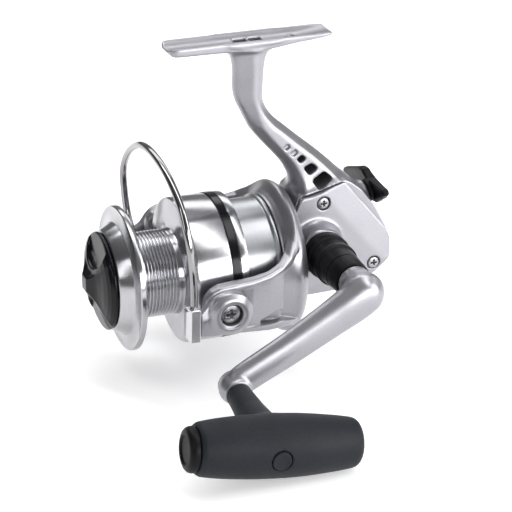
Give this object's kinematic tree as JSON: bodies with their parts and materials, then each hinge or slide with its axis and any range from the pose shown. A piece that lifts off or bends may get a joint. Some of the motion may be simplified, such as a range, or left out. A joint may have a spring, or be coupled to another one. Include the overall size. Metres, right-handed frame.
{
  "type": "fixed-spool fishing reel",
  "caption": "Front-drag fixed-spool reel with a stem and rod foot, skirted spool, rotor with wire bail, and a cranked handle with a T-bar knob.",
  "frame": {"origin": "on the seat of the rod foot, in the middle of its shallow channel, 40 mm behind the spool's front lip", "axes": "+Z out of the rod foot towards the rod, -X the way the spool faces, -Y the crank side; the spool axis runs along X at z = -82.5 mm"},
  "size_m": [0.113, 0.1463, 0.1192],
  "materials": {
    "silver_casting": "satin silver enamel over die-cast aluminium",
    "polished_aluminium": "turned and polished",
    "chrome": "bright plate",
    "steel": "machined",
    "brass": "machined",
    "zinc_casting": "bare zinc die casting",
    "black_plastic": "satin moulding",
    "black_gloss": "gloss moulding",
    "soft_grip": "soft-touch, finely textured",
    "felt": "pressed felt"
  },
  "bodies": {
    "frame": {"frame_body": "silver_casting", "side_cover": "silver_casting", "cover_screw_1": "steel", "cover_screw_2": "steel", "cover_screw_3": "steel", "drive_bearing_near": "steel", "drive_bearing_far": "steel", "far_side_cap": "black_plastic", "pinion_bearing": "steel", "bearing_retainer": "steel", "one_way_clutch": "steel", "pinion_bushing": "brass", "slider_rail_lower": "steel", "slider_rail_upper": "steel", "oscillating_gear_pin": "steel"},
    "drive": {"drive_gear": "zinc_casting", "handle_collar": "black_plastic", "crank_arm": "silver_casting", "knob_post": "steel"},
    "knob": {"knob_grip": "soft_grip", "knob_end_cap": "black_plastic", "knob_plug": "black_plastic"},
    "rotor": {"rotor": "silver_casting", "pinion": "brass", "rotor_nut": "steel", "balance_weight": "zinc_casting"},
    "bail": {"bail_lever_near": "silver_casting", "bail_lever_far": "silver_casting", "bail_screw_near": "steel", "bail_screw_far": "steel", "wire_block": "chrome", "bail_wire": "chrome", "wire_cone": "chrome", "roller_screw": "steel"},
    "roller": {"line_roller": "chrome"},
    "shaft": {"main_shaft": "steel", "crosshead": "zinc_casting", "spool_support": "brass", "drag_washer_key_1": "steel", "drag_washer_key_2": "steel"},
    "spool": {"spool": "polished_aluminium", "spool_band": "black_gloss", "drag_washer_felt_1": "felt", "drag_washer_ear": "steel", "drag_washer_felt_2": "felt"},
    "drag": {"drag_knob": "black_gloss", "drag_nut": "brass", "drag_spring": "steel"},
    "oscillator": {"oscillating_gear": "zinc_casting"},
    "anti_reverse": {"anti_reverse_lever": "black_plastic", "anti_reverse_shaft": "steel"}
  },
  "joints": [
    {"name": "handle_turn", "type": "hinge", "parent": "frame", "child": "drive", "pos_m": [0.0305, -0.02, -0.076], "axis": [0, -1, 0], "continuous": true},
    {"name": "knob_turn", "type": "hinge", "parent": "drive", "child": "knob", "pos_m": [-0.0172, -0.056, -0.1038], "axis": [-0.036, -0.9977, -0.057], "continuous": true},
    {"name": "rotor_spin", "type": "hinge", "parent": "frame", "child": "rotor", "pos_m": [-0.01, 0, -0.0825], "axis": [1, 0, 0], "continuous": true},
    {"name": "bail_flip", "type": "hinge", "parent": "rotor", "child": "bail", "pos_m": [-0.0115, 0, -0.0825], "axis": [0, -0.9976, -0.0698], "range_deg": [0, 100]},
    {"name": "roller_spin", "type": "hinge", "parent": "bail", "child": "roller", "pos_m": [-0.025, 0.03344, -0.08618], "axis": [0, 0.9976, 0.0698], "continuous": true},
    {"name": "oscillator_turn", "type": "hinge", "parent": "frame", "child": "oscillator", "pos_m": [0.044, 0.0065, -0.0817], "axis": [0, -1, 0], "continuous": true},
    {"name": "shaft_slide", "type": "slide", "parent": "frame", "child": "shaft", "axis": [1, 0, 0], "range_m": [0, 0.011]},
    {"name": "spool_spin", "type": "hinge", "parent": "shaft", "child": "spool", "pos_m": [-0.03, 0, -0.0825], "axis": [1, 0, 0], "continuous": true},
    {"name": "drag_turn", "type": "hinge", "parent": "shaft", "child": "drag", "pos_m": [-0.048, 0, -0.0825], "axis": [1, 0, 0], "range_deg": [-540, 540]},
    {"name": "anti_reverse_flip", "type": "hinge", "parent": "frame", "child": "anti_reverse", "pos_m": [0.056, 0, -0.062], "axis": [0.9744, 0, 0.225], "range_deg": [0, 25]}
  ],
  "couplings": [
    {"joint": "rotor_spin", "follows": "handle_turn", "ratio": 5.1429},
    {"joint": "oscillator_turn", "follows": "handle_turn", "ratio": -0.53846}
  ]
}
